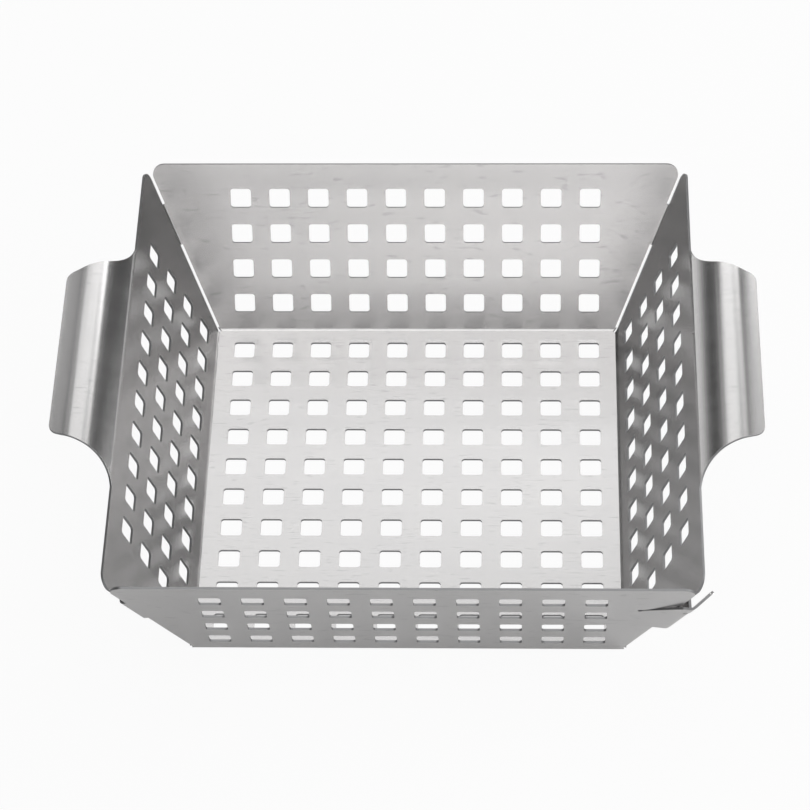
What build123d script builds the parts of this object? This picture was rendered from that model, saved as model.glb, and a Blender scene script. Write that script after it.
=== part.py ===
"""Square grill basket of perforated stainless sheet, in millimetres, +Z up.

The basket stands on its floor, with the origin at the middle of the floor's underside.
+X runs out through the right handle and +Y through the back wall. Each panel is the
stretch of sheet between its own folds, so neighbouring panels meet face to face.
"""
import os
from math import atan, cos, radians, sin, sqrt, tan

from build123d import *

# Driving dimensions
sheet = 1.0  # thickness of the stainless sheet
pitch = 17.0  # spacing of the punched holes, both ways
hole_side = 9.0
hole_corner = 1.3
holes_across = 10
wall_rows = 4
floor_margin = 12.2  # outermost hole centres of the floor to the fold line
foot_margin = 13.2  # fold line to a wall's lowest hole centres
rim_margin = 16.2  # a wall's highest hole centres to its rim
wall_lean = 21.0  # degrees from upright
fold_radius = 1.2  # inside radius where floor and walls meet
corner_gap = 1.2  # open slit between neighbouring walls
rim_corner = 5.0  # rounding of each wall's upper corners

# Handles, from the rim outwards, with slopes in degrees above level
root_radius = 4.5
root_end_slope = 43.0
shoulder_radius = 42.0
shoulder_end_slope = 29.0
crown_radius = 13.8
crease_slope = -16.0  # where the crown ends and the lip starts to flare
lip_radius = 43.0
lip_end_slope = -7.0
root_half_width = 72.8
throat_half_width = 51.0
throat_reach = 10.8  # outwards from the rim
throat_pull = 7.8
lip_half_width = 43.5
lip_corner = 3.0

# Corner tabs, folded from the back and front walls onto the side walls
tab_low = 0.52  # shares of the wall's slant
tab_high = 0.76
tab_length = 16.0
tab_fold = 1.0  # radius of the sheet's middle
tab_end_corner = 3.0

# The front right tab has sprung open and stands out as a flap with a finger
flap_length = 13.0  # inwards from the corner, square to it
flap_level = 1.0  # still flat at its root
flap_root_radius = 6.0
flap_rise = 7.0  # degrees out of the front wall
flap_reach = 16.8
flap_foot = 0.45  # share of the slant
flap_fold = 2.0
flap_rest = 0.05  # clearance of its free end from the side wall
slit_width = 0.9  # cut that frees the flap's upper edge
slit_slope = 24.0  # degrees below the rim's direction
slit_end_radius = 1.3
finger_height = 4.5
finger_gap = 0.6  # between the finger and the folded flap below it
finger_reach = 15.8
finger_turn = 51.0  # degrees back towards the side wall
finger_fold = 3.0
finger_length = 11.5
finger_end_corner = 2.0

# Worked out from them
lean = radians(wall_lean)
half_floor = (holes_across - 1) / 2 * pitch + floor_margin
wall_slant = foot_margin + (wall_rows - 1) * pitch + rim_margin
rim_out = half_floor + wall_slant * sin(lean)
rim_height = sheet + wall_slant * cos(lean)
fold_angle = 90 - wall_lean
fold_setback = fold_radius * tan(radians(fold_angle) / 2)
mitre = corner_gap / sqrt(2)
corner_lean = atan(sin(lean))  # of a corner line, within the face of a wall
edge_setback = mitre * cos(corner_lean)
corner_stretch = sqrt(1 + sin(lean) ** 2)  # corner line's length for each unit of slant
normal_angle = Vector(cos(lean), 0, -sin(lean)).get_angle(Vector(0, cos(lean), -sin(lean)))
turns = {"right": 0, "back": 90, "left": 180, "front": 270}


def corner_at(slant):
    """How far out the corner line passes, at a distance up the slant of a wall."""
    return half_floor + slant * sin(lean)


def outwards(turn):
    return Vector(1, 0, 0).rotate(Axis.Z, turn)


def wall_plane(turn):
    """A wall's inner face: x along the rim, y up the slant, z outwards."""
    out = outwards(turn)
    normal = out * cos(lean) - Vector(0, 0, sin(lean))
    return Plane(origin=out * half_floor + Vector(0, 0, sheet), x_dir=outwards(turn + 90), z_dir=normal)


def section_plane(turn):
    """Upright section through the middle of a wall: x outwards, y up."""
    out = outwards(turn)
    return Plane(origin=(0, 0, 0), x_dir=out, z_dir=out.cross(Vector(0, 0, 1)))


def corner_section(slant=0):
    """Section square to the back right corner line: x out of the back wall, y inwards along it."""
    out = corner_at(slant)
    origin = (out, out, sheet + slant * cos(lean))
    return Plane(
        origin=origin,
        x_dir=(0, cos(lean), -sin(lean)),
        z_dir=(sin(lean), sin(lean), cos(lean)),
    )


def back_wall_face():
    """The back wall's inner face, seen from inside: x to the right, y up the slant."""
    return Plane(
        origin=(0, half_floor, sheet),
        x_dir=(1, 0, 0),
        z_dir=(0, -cos(lean), sin(lean)),
    )


def by_side_wall(reach, stand_off):
    """A point beside the right wall's inner face, in the back right corner's section."""
    turn = radians(normal_angle)
    along = Vector(-sin(turn), -cos(turn))
    outward = Vector(cos(turn), -sin(turn))
    return along * reach + outward * stand_off


def punched_holes(rows):
    with GridLocations(pitch, pitch, holes_across, rows):
        RectangleRounded(hole_side, hole_side, hole_corner, mode=Mode.SUBTRACT)


def save(part, name):
    part.label = name
    export_step(part, f"parts/{name}.step")


def make_floor():
    with BuildPart() as floor_panel:
        with BuildSketch():
            side = 2 * (half_floor - fold_setback)
            Rectangle(side, side)
            punched_holes(holes_across)
        extrude(amount=sheet)
    save(floor_panel.part, "floor_panel")


def foot_fold(turn):
    """The curved foot of a wall, mitred at both ends."""
    out = outwards(turn)
    along = outwards(turn + 90)
    with BuildPart() as fold:
        with BuildSketch(section_plane(turn)):
            centre = (half_floor - fold_setback, sheet + fold_radius)
            with BuildLine():
                inner = CenterArc(centre, fold_radius, -90, fold_angle)
                outer = CenterArc(centre, fold_radius + sheet, -90, fold_angle)
                Line(inner @ 0, outer @ 0)
                Line(inner @ 1, outer @ 1)
            make_face()
        extrude(amount=rim_out, both=True)
        with BuildSketch():
            with BuildLine():
                Polyline(
                    out * mitre,
                    out * rim_out + along * (rim_out - mitre),
                    out * rim_out - along * (rim_out - mitre),
                    close=True,
                )
            make_face()
        extrude(amount=rim_height, mode=Mode.INTERSECT)
    return fold.part


def make_wall(name):
    turn = turns[name]
    with BuildPart() as wall:
        with BuildSketch(wall_plane(turn)) as face:
            foot_half = corner_at(fold_setback) - mitre
            rim_half = corner_at(wall_slant) - mitre
            with BuildLine():
                Polyline(
                    (-foot_half, fold_setback),
                    (foot_half, fold_setback),
                    (rim_half, wall_slant),
                    (-rim_half, wall_slant),
                    close=True,
                )
            make_face()
            fillet(face.vertices().group_by(Axis.Y)[-1], radius=rim_corner)
            with Locations((0, foot_margin + (wall_rows - 1) / 2 * pitch)):
                punched_holes(wall_rows)
        extrude(amount=sheet)
        add(foot_fold(turn))
        if name == "front":
            extrude(flap_opening(), amount=sheet, mode=Mode.SUBTRACT)
    save(wall.part, f"{name}_wall")


def flap_corners():
    """Corners of the flap in the wall's face: corner top, root top, root foot, corner foot."""
    top = tab_high * wall_slant
    foot = flap_foot * wall_slant
    fall = tan(radians(slit_slope))
    root_in = flap_length / cos(corner_lean)
    inwards = root_in / (1 - fall * sin(lean))
    return [
        Vector(corner_at(top), top),
        Vector(corner_at(top) - inwards, top - inwards * fall),
        Vector(corner_at(foot) - root_in, foot),
        Vector(corner_at(foot), foot),
    ]


def flap_opening():
    """What the flap leaves open in the front wall, with the slit above it."""
    corner_top, root_top, root_foot, corner_foot = flap_corners()
    slit = Vector(0, slit_width / cos(radians(slit_slope)))
    past = Vector(pitch, 0)
    rise = Vector(pitch, pitch * tan(radians(slit_slope)))
    with BuildSketch(wall_plane(turns["front"])) as opening:
        with BuildLine():
            Polyline(
                corner_top + slit + rise,
                root_top + slit,
                root_top,
                root_foot,
                corner_foot + past,
                close=True,
            )
        make_face()
        with Locations(root_top + slit / 2):
            Circle(slit_end_radius)
    return opening.sketch


def make_handles():
    bends = (
        (root_radius, root_end_slope),
        (shoulder_radius, shoulder_end_slope),
        (crown_radius, crease_slope),
        (lip_radius, lip_end_slope),
    )
    with BuildPart() as handle:
        with BuildSketch(section_plane(turns["right"])):
            middle = sheet / 2
            end = Vector(rim_out + middle * cos(lean), rim_height - middle * sin(lean))
            heading = Vector(sin(lean), cos(lean))
            slope = 90 - wall_lean
            with BuildLine():
                for radius, end_slope in bends:
                    bend = JernArc(start=end, tangent=heading, radius=radius, arc_size=end_slope - slope)
                    end, heading, slope = bend @ 1, bend % 1, end_slope
            trace(line_width=sheet)
        extrude(amount=root_half_width, both=True)
        reach = handle.part.bounding_box().max.X
        throat_out = rim_out + throat_reach
        taper = (throat_half_width - lip_half_width) / (reach - throat_out)
        with BuildSketch() as outline:
            with BuildLine():
                throat = Bezier(
                    (rim_out, root_half_width),
                    (rim_out, root_half_width - throat_reach),
                    (throat_out - throat_pull, throat_half_width + taper * throat_pull),
                    (throat_out, throat_half_width),
                )
                Polyline(
                    throat @ 1,
                    (reach, lip_half_width),
                    (reach, 0),
                    (rim_out - sheet, 0),
                    (rim_out - sheet, root_half_width),
                    throat @ 0,
                )
            make_face()
            mirror(about=Plane.XZ)
            lip_corners = outline.vertices().group_by(Axis.X)[-1].sort_by(Axis.Y)
            fillet([lip_corners[0], lip_corners[-1]], radius=lip_corner)
        extrude(amount=2 * rim_height, mode=Mode.INTERSECT)
    save(handle.part, "right_handle")
    save(mirror(handle.part, about=Plane.YZ), "left_handle")


def folded_tab():
    """The back right corner's tab, from the back wall's edge onto the right wall."""
    turn = radians(normal_angle)
    over_wall = 1.5 * sheet
    fold_reach = (over_wall * cos(turn) - sheet / 2) / sin(turn)
    with BuildPart() as tab:
        with BuildSketch(corner_section(tab_low * wall_slant)):
            with BuildLine():
                FilletPolyline(
                    (sheet / 2, edge_setback),
                    by_side_wall(fold_reach, over_wall),
                    by_side_wall(tab_length, over_wall),
                    radius=tab_fold,
                )
            trace(line_width=sheet)
        extrude(amount=(tab_high - tab_low) * wall_slant * corner_stretch)
        through_side_wall = Axis((0, 0, 0), (cos(lean), 0, -sin(lean)))
        fillet(tab.edges().filter_by(through_side_wall), radius=tab_end_corner)
    return tab.part


def sprung_finger(bend, heading):
    """The narrow finger that runs on past the corner at the top of the sprung tab."""
    top = tab_high * wall_slant
    foot = top - finger_height
    overlap = finger_height
    knee = bend + heading * finger_reach
    away = Vector(1, 0).rotate(Axis.Z, flap_rise - finger_turn - 90)
    with BuildPart() as finger:
        with BuildSketch(corner_section()):
            with BuildLine():
                FilletPolyline(bend, knee, knee + away * finger_length, radius=finger_fold)
            trace(line_width=sheet)
        extrude(amount=wall_slant * corner_stretch)
        with BuildSketch(back_wall_face()):
            inside = corner_at(top) - overlap
            beyond = corner_at(top) + finger_reach
            with BuildLine():
                Polyline(
                    (inside, foot),
                    (beyond, foot),
                    (beyond, top),
                    (corner_at(top), top),
                    (inside, top - overlap * tan(radians(slit_slope))),
                    close=True,
                )
            make_face()
        extrude(amount=pitch, both=True, mode=Mode.INTERSECT)
        tip = finger.faces().sort_by_distance((0, 0, 0))[-1]
        fillet(tip.edges().sort_by(SortBy.LENGTH)[:2], radius=finger_end_corner)
    return finger.part


def sprung_tab():
    """The tab that has sprung open, made at the back right corner."""
    corner_top, root_top, root_foot, corner_foot = flap_corners()
    rise = radians(flap_rise)
    root = Vector(sheet / 2, flap_length)
    bend = root - Vector(0, flap_level)
    heading = Vector(sin(rise), -cos(rise))
    with BuildPart() as tab:
        with BuildSketch(corner_section()):
            with BuildLine():
                FilletPolyline(
                    root,
                    bend,
                    bend + heading * flap_reach,
                    by_side_wall(tab_length, 1.5 * sheet + flap_rest),
                    radius=[flap_root_radius, flap_fold],
                )
            trace(line_width=sheet)
        extrude(amount=wall_slant * corner_stretch)
        with BuildSketch(back_wall_face()):
            shoulder = corner_top.Y - finger_height - finger_gap
            beyond = Vector(pitch, 0)
            with BuildLine():
                Polyline(
                    corner_top,
                    root_top,
                    root_foot,
                    corner_foot + beyond,
                    (corner_top.X + pitch, shoulder),
                    (corner_top.X, shoulder),
                    close=True,
                )
            make_face()
        extrude(amount=1.5 * pitch, both=True, mode=Mode.INTERSECT)
        add(sprung_finger(bend, heading))
    return tab.part


def make_tabs():
    tab = folded_tab()
    save(tab, "corner_tab_back_right")
    save(mirror(tab, about=Plane.YZ), "corner_tab_back_left")
    save(mirror(mirror(tab, about=Plane.YZ), about=Plane.XZ), "corner_tab_front_left")
    save(mirror(sprung_tab(), about=Plane.XZ), "corner_tab_front_right")


os.makedirs("parts", exist_ok=True)
make_floor()
for wall_name in turns:
    make_wall(wall_name)
make_handles()
make_tabs()
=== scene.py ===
from math import copysign, cos, pi, radians, sin, sqrt, tan

import bpy
from mathutils import Matrix, Vector
from mathutils.bvhtree import BVHTree


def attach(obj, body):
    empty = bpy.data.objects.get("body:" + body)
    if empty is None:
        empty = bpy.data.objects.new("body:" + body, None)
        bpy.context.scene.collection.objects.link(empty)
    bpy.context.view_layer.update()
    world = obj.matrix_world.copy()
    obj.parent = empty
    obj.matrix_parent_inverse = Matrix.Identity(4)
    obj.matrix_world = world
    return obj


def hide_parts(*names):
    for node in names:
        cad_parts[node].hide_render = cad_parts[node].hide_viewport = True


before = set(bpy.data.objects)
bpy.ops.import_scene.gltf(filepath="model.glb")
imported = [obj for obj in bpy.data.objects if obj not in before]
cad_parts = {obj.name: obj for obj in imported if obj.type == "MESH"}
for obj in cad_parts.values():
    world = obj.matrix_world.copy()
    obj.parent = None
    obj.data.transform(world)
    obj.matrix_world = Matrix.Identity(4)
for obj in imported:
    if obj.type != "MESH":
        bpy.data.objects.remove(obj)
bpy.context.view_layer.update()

MM = 0.001

# The folded sheet
SHEET = 1.0 * MM
LEAN = radians(21)  # of the walls, from upright
HALF_FLOOR = 88.7 * MM  # middle of the floor to a fold line
WALL_SLANT = 80.4 * MM  # fold line to rim
FOLD_RADIUS = 1.2 * MM
FOLD_SETBACK = FOLD_RADIUS * tan((pi / 2 - LEAN) / 2)
BROKEN_EDGE = 0.15 * MM  # taken off every sheared edge
SKIN = 0.2 * SHEET  # anything this near a face of the sheet belongs to that face
MERGE_REACH = 0.001 * MM
FLAT_TURN = radians(0.5)  # faces that turn less than this are one flat
SHARP_TURN = radians(40)  # edges that turn more than this are broken
SMOOTH_TURN = radians(50)  # and more than this are shaded as edges
SEAM_GAP = 0.02 * MM  # two nodes this near are one sheet

# The handles
RIM_OUT = HALF_FLOOR + WALL_SLANT * sin(LEAN)
RIM_HEIGHT = SHEET + WALL_SLANT * cos(LEAN)
HANDLE_BENDS = (  # from the rim outwards: radius, slope at its end, steps
    (4.5 * MM, radians(43), 8),  # root
    (41.9 * MM, radians(29), 10),  # shoulder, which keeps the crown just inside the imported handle
    (13.8 * MM, radians(-16), 20),  # crown, down to the crease
    (43.0 * MM, radians(-7), 24),  # lip, flaring a little
)
ROOT_HALF_WIDTH = 72.8 * MM
THROAT_HALF_WIDTH = 51.0 * MM
THROAT_REACH = 10.8 * MM  # outwards from the rim
THROAT_PULL = 7.8 * MM
LIP_HALF_WIDTH = 43.5 * MM
LIP_CORNER = 3.0 * MM
HALVINGS = 30  # when a point on the throat's curve is looked for

# The finish: noise cells per metre, then colours
GRAIN = (60, 2600, 60)  # fine lines of the brushing
STREAKS = (14, 420, 14)
CLOUDS = (26, 34, 26)
SCRATCHES = (190, 1500, 190)
DARK_STEEL = (0.672, 0.664, 0.667, 1)
LIGHT_STEEL = (0.775, 0.765, 0.758, 1)
SHEARED_STEEL = (0.33, 0.33, 0.335, 1)

# The camera
CAMERA_AZIMUTH = radians(2.918)
CAMERA_ELEVATION = radians(48.4965)
CAMERA_ROLL = radians(-2.0753)
CAMERA_AIM = Vector((-4.2806, 43.9416, 1.0)) * MM
CAMERA_DISTANCE = 1499.3541 * MM
SENSOR = 36
LENS = 152.23289

# The studio
GROUND_SIDE = 8
GROUND_PAINT = (0.8, 0.8, 0.8, 1)
WHITE = (1, 1, 1, 1)
WHITE_TO_CAMERA = 0.94  # the rest keeps the basket's shadow
WHITE_IN_METAL = 0.1
BACKDROP_FOOT = 0.02  # height of a direction at which the white backdrop starts to fade
BACKDROP_TOP = 0.09
ROOM = 0.03  # brightness of the dark room above the backdrop

# Studio lamps: azimuth and elevation in degrees, width and height in metres, brightness
LAMP_DISTANCE = 1.4
LAMP_AIM = 0.05  # height of the point that they face
SOFTBOXES = (
    ("overhead_softbox", 0, 89.5, 1.1, 1.1, 1.3),
    ("high_back_softbox", -9, 49, 0.85, 0.46, 1.0),
    ("low_back_softbox", 7, 32, 0.9, 0.38, 2.5),
    ("right_back_softbox", 30, 43, 0.5, 0.35, 0.65),
    ("left_back_fill", -38, 36, 0.3, 0.3, 0.45),
    ("low_back_strip", -35, 9, 0.8, 0.3, 0.75),
    ("high_left_softbox", -60, 62, 0.7, 0.7, 0.6),
    ("right_softbox", 95, 35, 1.2, 1.0, 1.5),
    ("right_corner_softbox", 63, 22, 0.5, 0.5, 3.2),
    ("front_softbox", 180, 45, 1.3, 0.8, 1.3),
    ("low_front_strip", 180, 15, 1.2, 0.5, 0.7),
)

OUTWARDS = {"right": Vector((1, 0, 0)), "back": Vector((0, 1, 0)), "left": Vector((-1, 0, 0)),
            "front": Vector((0, -1, 0))}


class Value:
    """A shader socket that adds its own Math nodes when it is used in an expression."""

    def __init__(self, shader, socket):
        self.shader = shader
        self.socket = socket

    def maths(self, operation, first, second):
        return self.shader.node("ShaderNodeMath", {"operation": operation}, {0: first, 1: second})

    def __add__(self, other):
        return self.maths("ADD", self, other)

    def __sub__(self, other):
        return self.maths("SUBTRACT", self, other)

    def __mul__(self, other):
        return self.maths("MULTIPLY", self, other)

    def __rsub__(self, other):
        return self.maths("SUBTRACT", other, self)

    __radd__ = __add__
    __rmul__ = __mul__


class Shader:
    """A node tree that is written as calls."""

    def __init__(self, tree):
        self.tree = tree
        tree.nodes.clear()

    def node(self, kind, settings=None, sockets=None, output=0):
        node = self.tree.nodes.new(kind)
        for name, value in (settings or {}).items():
            setattr(node, name, value)
        for name, value in (sockets or {}).items():
            if isinstance(value, Value):
                self.tree.links.new(value.socket, node.inputs[name])
            else:
                node.inputs[name].default_value = value
        return Value(self, node.outputs[output] if node.outputs else None)


def new_material(name):
    material = bpy.data.materials.new(name)
    material.use_nodes = True
    return material, Shader(material.node_tree)


def stretched_noise(shader, scale, detail):
    """Noise about zero, with its own number of cells per metre along each axis."""
    place = shader.node("ShaderNodeTexCoord", output="Object")
    spread = shader.node("ShaderNodeMapping", sockets={"Vector": place, "Scale": scale})
    noise = {"Vector": spread, "Scale": 1.0, "Detail": detail, "Roughness": 0.6}
    return shader.node("ShaderNodeTexNoise", sockets=noise) - 0.5


def brushed_steel():
    """Stainless sheet, brushed along X before it was folded, with bare sheared edges."""
    material, shader = new_material("brushed_steel")
    grain = stretched_noise(shader, GRAIN, 2)
    streaks = stretched_noise(shader, STREAKS, 2)
    clouds = stretched_noise(shader, CLOUDS, 3)
    scratches = shader.node(
        "ShaderNodeMapRange",
        {"interpolation_type": "SMOOTHSTEP"},
        {"Value": stretched_noise(shader, SCRATCHES, 0), "From Min": 0.17, "From Max": 0.31},
    )
    sheared = shader.node("ShaderNodeAttribute", {"attribute_name": "sheared"}, output="Fac")
    tone = 0.5 + grain * 0.25 + streaks * 0.35 + clouds * 0.9
    sheet_colour = shader.node(
        "ShaderNodeMix",
        {"data_type": "RGBA"},
        {"Factor": tone, "A": DARK_STEEL, "B": LIGHT_STEEL},
        output="Result",
    )
    colour = shader.node(
        "ShaderNodeMix",
        {"data_type": "RGBA"},
        {"Factor": sheared + scratches * 0.22, "A": sheet_colour, "B": SHEARED_STEEL},
        output="Result",
    )
    relief = grain * 0.6 + streaks * 0.5
    bump = shader.node("ShaderNodeBump", sockets={"Strength": 0.4, "Distance": 0.03 * MM, "Height": relief})
    surface = shader.node(
        "ShaderNodeBsdfPrincipled",
        sockets={
            "Base Color": colour,
            "Metallic": 1.0,
            "Roughness": 0.22 + grain * 0.03 + streaks * 0.04 + clouds * 0.1 + sheared * 0.25,
            "Normal": bump,
        },
    )
    shader.node("ShaderNodeOutputMaterial", sockets={"Surface": surface})
    return material


def start_editing(piece):
    """Edit mode on one piece alone, with all of it selected."""
    bpy.ops.object.select_all(action="DESELECT")
    piece.select_set(True)
    bpy.context.view_layer.objects.active = piece
    bpy.ops.object.mode_set(mode="EDIT")
    bpy.ops.mesh.select_all(action="SELECT")


def stop_editing():
    bpy.ops.object.mode_set(mode="OBJECT")


def merged_copy(node_name):
    """A packed panel's copy with its loose triangles joined up.

    A side wall's rim is cut where its handle ends, so that the seam there has its own edge.
    """
    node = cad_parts[node_name]
    piece = node.copy()
    piece.data = node.data.copy()
    bpy.context.collection.objects.link(piece)
    start_editing(piece)
    bpy.ops.mesh.customdata_custom_splitnormals_clear()
    bpy.ops.mesh.remove_doubles(threshold=MERGE_REACH)
    if node_name in ("left_wall", "right_wall"):
        for end_of_handle in (-ROOT_HALF_WIDTH, ROOT_HALF_WIDTH):
            bpy.ops.mesh.select_all(action="SELECT")
            bpy.ops.mesh.bisect(plane_co=(0, end_of_handle, 0), plane_no=(0, 1, 0))
    bpy.ops.mesh.select_all(action="SELECT")
    bpy.ops.mesh.dissolve_limited(angle_limit=FLAT_TURN)
    stop_editing()
    return piece


def depth_in_sheet(point, out):
    """How far a point lies from the inner face of the floor, the fold or the wall."""
    across = point.dot(out) - (HALF_FLOOR - FOLD_SETBACK)
    height = point.z - SHEET - FOLD_RADIUS
    if across < 0:
        return SHEET - point.z
    if height < -across * tan(LEAN):
        return sqrt(across**2 + height**2) - FOLD_RADIUS
    from_fold = point - out * HALF_FLOOR - Vector((0, 0, SHEET))
    return from_fold.dot(out * cos(LEAN) - Vector((0, 0, sin(LEAN))))


def mark_sheared_faces(piece, sheared):
    """Writes the attribute that the finish reads."""
    marks = piece.data.attributes.new("sheared", "FLOAT", "FACE")
    for face in piece.data.polygons:
        marks.data[face.index].value = float(sheared(face))


def crosses_sheet(piece, face):
    """Whether one of a face's edges runs straight through the sheet."""
    corners = [piece.data.vertices[index].co for index in face.vertices]
    lengths = [(corner - corners[place - 1]).length for place, corner in enumerate(corners)]
    return any(abs(length - SHEET) < SEAM_GAP for length in lengths)


def mark_sheared_edges(piece, node_name):
    """Weights for the bevel: none where the sheet runs on into the next node."""
    start_editing(piece)
    bpy.ops.mesh.select_all(action="DESELECT")
    bpy.ops.mesh.edges_select_sharp(sharpness=SHARP_TURN)
    stop_editing()
    neighbours = [skin for name, skin in skins.items() if name != node_name]
    weights = piece.data.attributes.new("bevel_weight_edge", "FLOAT", "EDGE")
    points = piece.data.vertices
    for edge in piece.data.edges:
        middle = (points[edge.vertices[0]].co + points[edge.vertices[1]].co) / 2
        runs_on = any(skin.find_nearest(middle, SEAM_GAP)[0] is not None for skin in neighbours)
        weights.data[edge.index].value = float(edge.select and not runs_on)


def break_edges(piece):
    """Takes the burr off the weighted edges."""
    edge = piece.modifiers.new("edge", "BEVEL")
    edge.width = BROKEN_EDGE
    edge.segments = 2
    edge.limit_method = "WEIGHT"
    bpy.ops.object.modifier_apply(modifier="edge")


def smooth(piece):
    bpy.ops.object.shade_smooth_by_angle(angle=SMOOTH_TURN)
    soft = piece.modifiers.new("soft", "WEIGHTED_NORMAL")
    soft.keep_sharp = True
    bpy.ops.object.modifier_apply(modifier="soft")


def round_fold(piece, out):
    """Points the fold's normals at its axis, so that it runs smoothly into the flats."""
    mesh = piece.data
    axis = out * (HALF_FLOOR - FOLD_SETBACK) + Vector((0, 0, SHEET + FOLD_RADIUS))
    along = out.cross(Vector((0, 0, 1)))
    normals = [Vector(corner.vector) for corner in mesh.corner_normals]
    for face in mesh.polygons:
        spokes = []
        for corner in face.loop_indices:
            from_axis = mesh.vertices[mesh.loops[corner].vertex_index].co - axis
            spokes.append(from_axis - along * from_axis.dot(along))
        on_inside = all(abs(spoke.length - FOLD_RADIUS) < SEAM_GAP for spoke in spokes)
        on_outside = all(abs(spoke.length - FOLD_RADIUS - SHEET) < SEAM_GAP for spoke in spokes)
        if on_inside or on_outside:
            for corner, spoke in zip(face.loop_indices, spokes):
                normals[corner] = copysign(1, spoke.dot(face.normal)) * spoke.normalized()
    mesh.normals_split_custom_set(normals)


def declare(piece, node_name, material):
    piece.name = node_name + "_sheet"
    piece.data.materials.clear()
    piece.data.materials.append(material)
    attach(piece, "root")
    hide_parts(node_name)


def flat_panel(node_name, material):
    """The floor, a wall or a corner tab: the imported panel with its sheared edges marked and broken."""
    side = node_name.split("_")[0]
    piece = merged_copy(node_name)
    if node_name.endswith("wall"):
        out = OUTWARDS[side]
        mark_sheared_faces(piece, lambda face: SKIN < depth_in_sheet(face.center, out) < SHEET - SKIN)
    elif node_name == "floor_panel":
        mark_sheared_faces(piece, lambda face: abs(face.normal.z) < 0.5)
    else:
        mark_sheared_faces(piece, lambda face: crosses_sheet(piece, face))
    mark_sheared_edges(piece, node_name)
    break_edges(piece)
    smooth(piece)
    if node_name.endswith("wall"):
        round_fold(piece, OUTWARDS[side])
    declare(piece, node_name, material)


def handle_half_width(reach, lip_end):
    """Half of the right handle's width at a distance out from the middle of the basket.

    The throat is a Bezier curve, so its parameter is first found by halving.
    """
    throat_out = RIM_OUT + THROAT_REACH
    taper = (THROAT_HALF_WIDTH - LIP_HALF_WIDTH) / (lip_end - throat_out)
    if reach > throat_out:
        half_width = THROAT_HALF_WIDTH - (reach - throat_out) * taper
        into_corner = max(0, reach - (lip_end - LIP_CORNER))
        return half_width - LIP_CORNER + sqrt(max(0, LIP_CORNER**2 - into_corner**2))
    low, high = 0.0, 1.0
    pull = THROAT_HALF_WIDTH + taper * THROAT_PULL
    for _ in range(HALVINGS):
        share = (low + high) / 2
        rest = 1 - share
        out = 3 * rest * share**2 * (THROAT_REACH - THROAT_PULL) + share**3 * THROAT_REACH
        if RIM_OUT + out < reach:
            low = share
        else:
            high = share
    start = ROOT_HALF_WIDTH * rest**3 + 3 * rest**2 * share * (ROOT_HALF_WIDTH - THROAT_REACH)
    return start + 3 * rest * share**2 * pull + share**3 * THROAT_HALF_WIDTH


def handle_section():
    """Steps of the sheet's middle line from the rim to the lip, each a chord's length and slope."""
    slope = pi / 2 - LEAN
    steps = []
    for radius, end_slope, count in HANDLE_BENDS:
        turn = (end_slope - slope) / count
        for _ in range(count):
            steps.append((2 * radius * sin(abs(turn) / 2), slope + turn / 2))
            slope += turn
    return steps


def handle(node_name, material):
    """The right handle, or the left one mirrored from it.

    One edge across the rim is extruded along the section, and scaled to the width at each step.
    """
    start = Vector((RIM_OUT + SHEET / 2 * cos(LEAN), 0, RIM_HEIGHT - SHEET / 2 * sin(LEAN)))
    steps = handle_section()
    lip_end = start.x + sum(length * cos(slope) for length, slope in steps)
    bpy.ops.object.select_all(action="DESELECT")
    bpy.ops.mesh.primitive_plane_add(size=1, location=start)
    piece = bpy.context.object
    bpy.ops.object.mode_set(mode="EDIT")
    bpy.ops.mesh.select_mode(type="VERT")
    bpy.ops.mesh.select_all(action="DESELECT")
    stop_editing()
    for corner in piece.data.vertices:
        corner.select = corner.co.x > 0
    bpy.ops.object.mode_set(mode="EDIT")
    bpy.ops.mesh.delete(type="VERT")
    bpy.ops.mesh.select_all(action="SELECT")
    bpy.ops.transform.translate(value=(0.5, 0, 0))
    at = start.copy()
    half_width = 0.5
    for length, slope in [(0, 0)] + steps:
        if length:
            bpy.ops.mesh.extrude_region_move(
                TRANSFORM_OT_translate={"value": (length * cos(slope), 0, length * sin(slope))}
            )
        at += Vector((length * cos(slope), 0, length * sin(slope)))
        wanted = handle_half_width(at.x, lip_end)
        bpy.ops.transform.resize(value=(1, wanted / half_width, 1), center_override=at)
        half_width = wanted
    stop_editing()
    bpy.ops.object.transform_apply(location=True, rotation=True, scale=True)
    if node_name == "left_handle":
        bpy.ops.transform.mirror(constraint_axis=(True, False, False), center_override=(0, 0, 0))
        bpy.ops.object.transform_apply(location=True, rotation=True, scale=True)
    start_editing(piece)
    bpy.ops.mesh.normals_make_consistent(inside=False)
    stop_editing()
    outer_and_inner = 2 * len(piece.data.polygons)
    thickness = piece.modifiers.new("thickness", "SOLIDIFY")
    thickness.thickness = SHEET
    thickness.offset = 0
    bpy.ops.object.modifier_apply(modifier="thickness")
    mark_sheared_faces(piece, lambda face: face.index >= outer_and_inner)
    mark_sheared_edges(piece, node_name)
    break_edges(piece)
    smooth(piece)
    declare(piece, node_name, material)


def make_camera():
    turn = (
        Matrix.Rotation(CAMERA_AZIMUTH, 4, "Z")
        @ Matrix.Rotation(pi / 2 - CAMERA_ELEVATION, 4, "X")
        @ Matrix.Rotation(CAMERA_ROLL, 4, "Z")
    )
    away = turn.to_3x3() @ Vector((0, 0, 1))
    data = bpy.data.cameras.new("camera")
    data.sensor_width = SENSOR
    data.lens = LENS
    camera = bpy.data.objects.new("camera", data)
    bpy.context.collection.objects.link(camera)
    camera.matrix_world = Matrix.Translation(CAMERA_AIM + away * CAMERA_DISTANCE) @ turn
    bpy.context.scene.camera = camera


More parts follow.
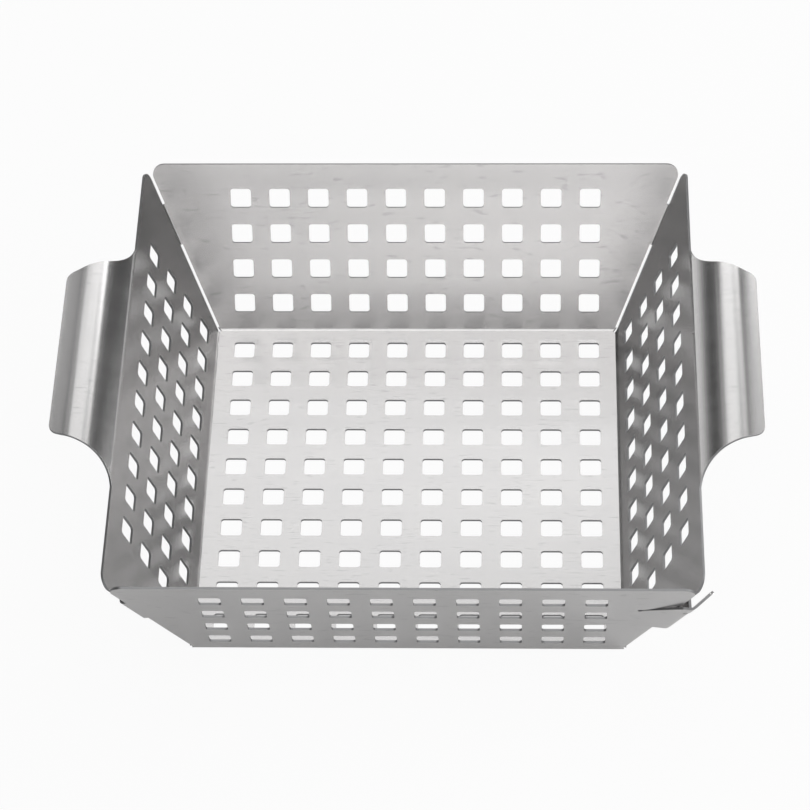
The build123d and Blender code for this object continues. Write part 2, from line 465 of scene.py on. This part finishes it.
def make_ground():
    """White to the camera, and mostly plain matte paint in the metal."""
    bpy.ops.object.select_all(action="DESELECT")
    bpy.ops.mesh.primitive_plane_add(size=GROUND_SIDE, location=(0, 0, 0))
    ground = bpy.context.object
    ground.name = "ground"
    material, shader = new_material("ground")
    matte = shader.node("ShaderNodeBsdfDiffuse", sockets={"Color": GROUND_PAINT})
    glow = shader.node("ShaderNodeEmission", sockets={"Color": WHITE})
    seen = shader.node("ShaderNodeLightPath", output="Is Camera Ray")
    mirrored = shader.node("ShaderNodeLightPath", output="Is Glossy Ray")
    share = seen * WHITE_TO_CAMERA + mirrored * WHITE_IN_METAL
    both = shader.node("ShaderNodeMixShader", sockets={0: share, 1: matte, 2: glow})
    shader.node("ShaderNodeOutputMaterial", sockets={"Surface": both})
    ground.data.materials.append(material)


def make_world():
    """White to the camera; a white backdrop under a dark room to the metal."""
    world = bpy.data.worlds.new("studio")
    bpy.context.scene.world = world
    world.use_nodes = True
    shader = Shader(world.node_tree)
    direction = shader.node("ShaderNodeTexCoord", output="Generated")
    height = shader.node("ShaderNodeSeparateXYZ", sockets={0: direction}, output=2)
    seen = shader.node("ShaderNodeLightPath", output="Is Camera Ray")
    backdrop = shader.node(
        "ShaderNodeMapRange",
        {"interpolation_type": "SMOOTHSTEP"},
        {"Value": height, "From Min": BACKDROP_FOOT, "From Max": BACKDROP_TOP, "To Min": 1.0, "To Max": ROOM},
    )
    level = backdrop + seen * (1.0 - backdrop)
    sky = shader.node("ShaderNodeBackground", sockets={"Color": WHITE, "Strength": level})
    shader.node("ShaderNodeOutputWorld", sockets={"Surface": sky})


def softbox(name, azimuth, elevation, width, height, brightness):
    """A lamp aimed at the basket; azimuth is clockwise from +Y, and brightness 1 mirrors as white."""
    aim = Vector((0, 0, LAMP_AIM))
    azimuth, elevation = radians(azimuth), radians(elevation)
    level = cos(elevation)
    away = Vector((sin(azimuth) * level, cos(azimuth) * level, sin(elevation)))
    data = bpy.data.lights.new(name, "AREA")
    data.shape = "RECTANGLE"
    data.size = width
    data.size_y = height
    data.energy = brightness * pi * width * height
    box = bpy.data.objects.new(name, data)
    bpy.context.collection.objects.link(box)
    box.location = aim + away * LAMP_DISTANCE
    box.rotation_euler = away.to_track_quat("Z", "Y").to_euler()


make_camera()
make_ground()
make_world()
for lamp in SOFTBOXES:
    softbox(*lamp)
steel = brushed_steel()
skins = {}
for name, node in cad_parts.items():
    corners = [corner.co for corner in node.data.vertices]
    skins[name] = BVHTree.FromPolygons(corners, [face.vertices for face in node.data.polygons])
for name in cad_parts:
    if name.endswith("handle"):
        handle(name, steel)
    else:
        flat_panel(name, steel)
bpy.context.scene.view_settings.view_transform = "Standard"
